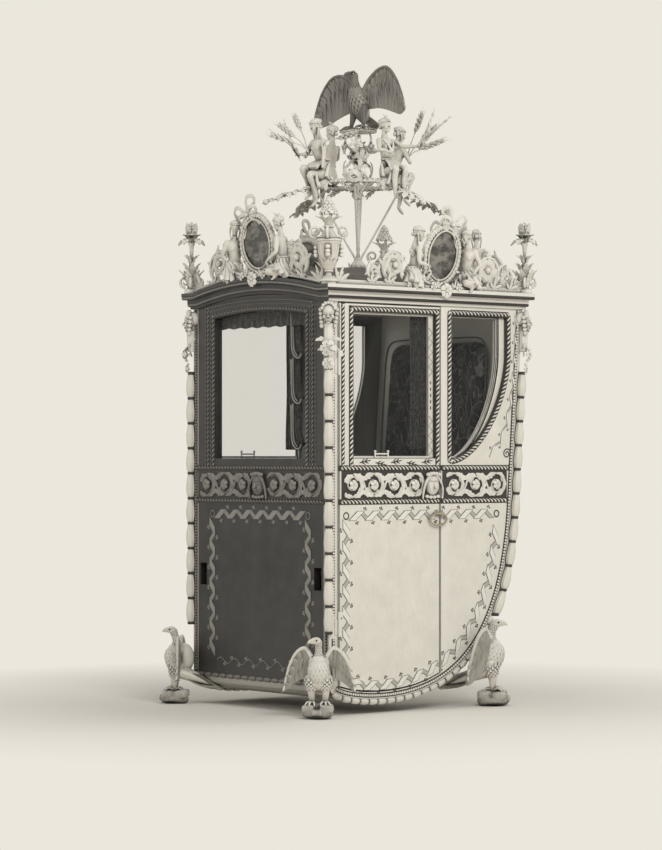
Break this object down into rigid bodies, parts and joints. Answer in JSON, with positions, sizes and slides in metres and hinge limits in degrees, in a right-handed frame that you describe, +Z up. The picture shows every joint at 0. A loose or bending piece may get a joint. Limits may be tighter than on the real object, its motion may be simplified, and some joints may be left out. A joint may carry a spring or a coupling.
{
  "type": "sedan chair",
  "caption": "Carried sedan chair: a tall carved cabin with side doors that swing outward, bird-shaped feet, a pierced gallery and a crown with seated figures and a spread bird.",
  "frame": {"origin": "centre of the bounding box at the floor", "axes": "+Z up, -Y towards the front wall of the cabin, +X towards the side whose door is door_right"},
  "size_m": [1.0404, 1.1982, 2.4952],
  "materials": {
    "ivory_paint": "satin ivory paint on wood",
    "dark_lacquer": "dark lacquer on wood",
    "carved_wood": "painted and glazed carving",
    "roof_leather": "dark leather on boards",
    "damask": "dark figured damask",
    "window_glass": "clear",
    "aged_brass": "aged"
  },
  "bodies": {
    "cabin": {"back_squab": "damask", "bird_foot_front_left": "carved_wood", "bird_foot_front_right": "carved_wood", "bird_foot_rear_left": "carved_wood", "bird_foot_rear_right": "carved_wood", "corner_bundle_front_left": "carved_wood", "corner_bundle_front_right": "carved_wood", "corner_bundle_rear_left": "carved_wood", "corner_bundle_rear_right": "carved_wood", "corner_term_front_left": "carved_wood", "corner_term_front_right": "carved_wood", "corner_term_rear_left": "carved_wood", "corner_term_rear_right": "carved_wood", "cornice_front": "dark_lacquer", "cornice_left": "carved_wood", "cornice_rear": "carved_wood", "cornice_right": "carved_wood", "crown_bird": "carved_wood", "crown_figure_front": "carved_wood", "crown_figure_left": "carved_wood", "crown_figure_rear": "carved_wood", "crown_figure_right": "carved_wood", "crown_frame": "carved_wood", "finial_front_left": "carved_wood", "finial_rear_right": "carved_wood", "floor_board": "ivory_paint", "front_curtain": "damask", "front_glass": "window_glass", "front_post_left": "dark_lacquer", "front_post_right": "dark_lacquer", "front_valance": "damask", "front_wall": "dark_lacquer", "gallery_front": "carved_wood", "gallery_left": "carved_wood", "gallery_rear": "carved_wood", "gallery_right": "carved_wood", "hinge_left_lower": "aged_brass", "hinge_left_upper": "aged_brass", "hinge_right_lower": "aged_brass", "hinge_right_upper": "aged_brass", "quarter_glass_left": "window_glass", "quarter_glass_right": "window_glass", "quarter_panel_left": "ivory_paint", "quarter_panel_right": "ivory_paint", "rear_wall": "ivory_paint", "roof": "roof_leather", "seat_box": "damask", "seat_cushion": "damask", "tub": "ivory_paint", "urn_front_right": "carved_wood", "urn_rear_left": "carved_wood"},
    "door_right": {"door_right": "ivory_paint", "door_glass_right": "window_glass", "door_handle_right": "aged_brass", "door_curtain_right": "damask"},
    "door_left": {"door_left": "ivory_paint", "door_glass_left": "window_glass", "door_handle_left": "aged_brass", "door_curtain_left": "damask"}
  },
  "joints": [
    {"name": "door_right_hinge", "type": "hinge", "parent": "cabin", "child": "door_right", "pos_m": [0.4193, -0.40115, 0.8], "axis": [0, 0, -1], "range_deg": [0, 90]},
    {"name": "door_left_hinge", "type": "hinge", "parent": "cabin", "child": "door_left", "pos_m": [-0.4193, -0.40115, 0.8], "axis": [0, 0, 1], "range_deg": [0, 90]}
  ]
}
